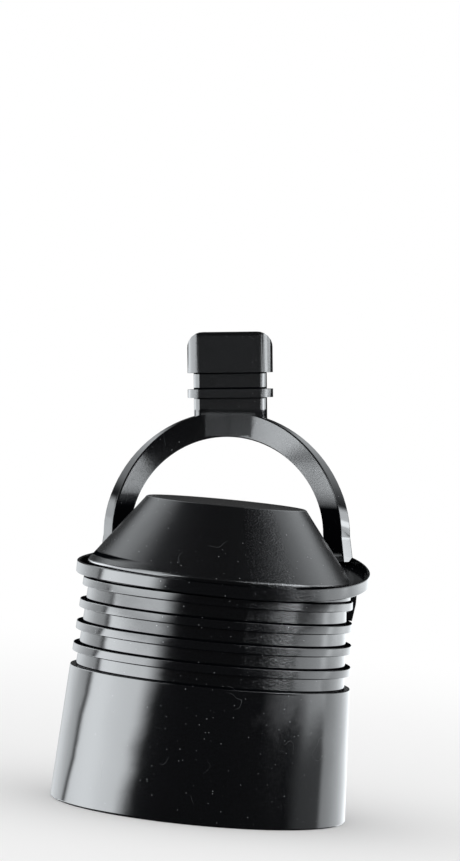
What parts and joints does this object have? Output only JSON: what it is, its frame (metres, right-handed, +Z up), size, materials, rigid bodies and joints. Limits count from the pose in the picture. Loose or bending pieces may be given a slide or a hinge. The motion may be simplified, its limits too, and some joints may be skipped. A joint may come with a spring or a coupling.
{
  "type": "tow ball cover",
  "caption": "Soft flared cap with a ribbed barrel, a coned roof, a shallow collar and a carrying loop with a grip bar, pushed down over a coupling ball.",
  "frame": {"origin": "centre of the open rim, on the cap's axis, at the level that it stands on", "axes": "+Z up along the cap's axis towards the roof, +Y towards the back where the loop stands, +X to the right as seen from the front"},
  "size_m": [0.0615, 0.0621, 0.0991],
  "materials": {
    "black_pvc": "glossy soft PVC with fine dust and scratches"
  },
  "bodies": {
    "root": {"tow_ball_cover": "black_pvc"}
  },
  "joints": []
}
